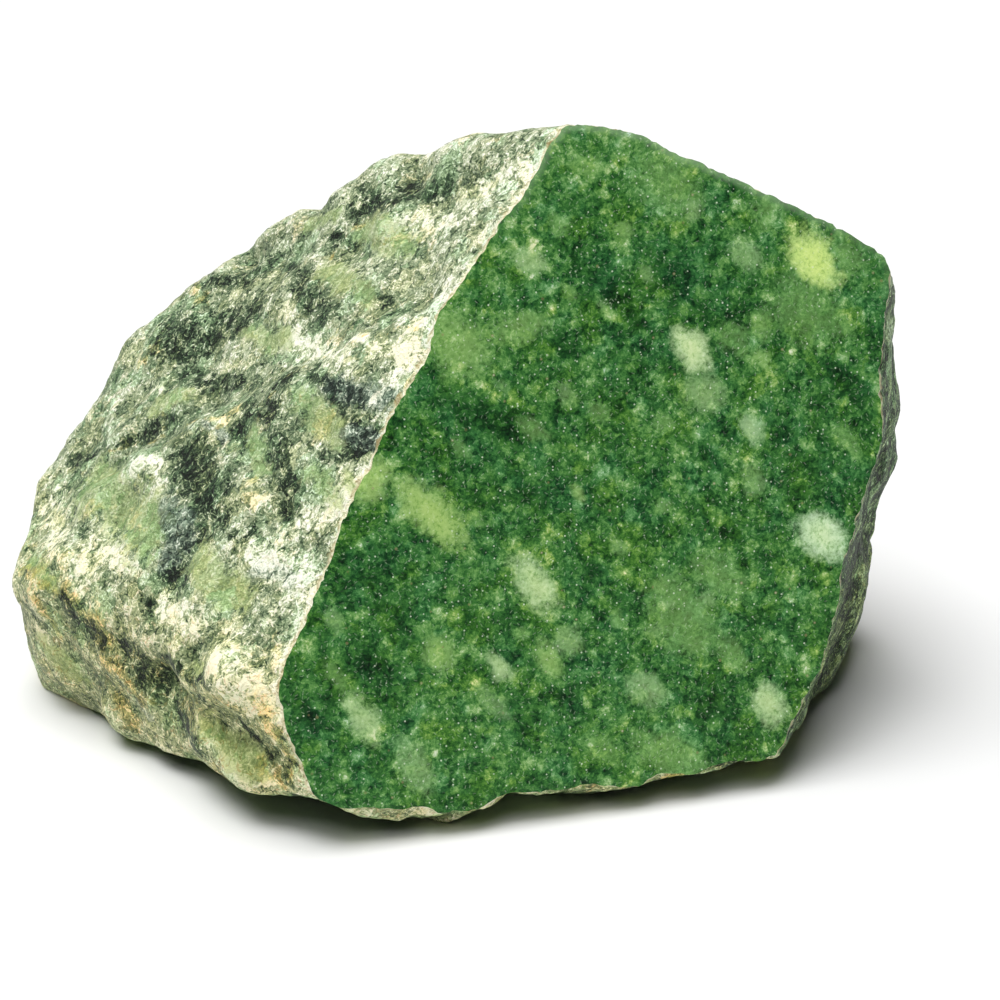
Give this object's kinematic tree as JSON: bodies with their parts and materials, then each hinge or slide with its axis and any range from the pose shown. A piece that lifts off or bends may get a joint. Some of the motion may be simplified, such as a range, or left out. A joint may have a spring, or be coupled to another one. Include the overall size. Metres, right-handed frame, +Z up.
{
  "type": "raw budstone specimen",
  "caption": "Hand-sized rough piece of mottled green stone with broken, ledged sides, a flat underside to rest on and a sawn, satin-smooth face on the front.",
  "frame": {"origin": "on the floor, under the middle of the stone's bounding box", "axes": "+Z up, +X along the stone's longest extent, with the sawn face on the -Y side, turned 16 degrees towards +X and leaning back 17 degrees"},
  "size_m": [0.0808, 0.058, 0.0569],
  "materials": {
    "budstone": "rough, broken surface; the sawn face is satin"
  },
  "bodies": {
    "root": {"stone": "budstone"}
  },
  "joints": []
}
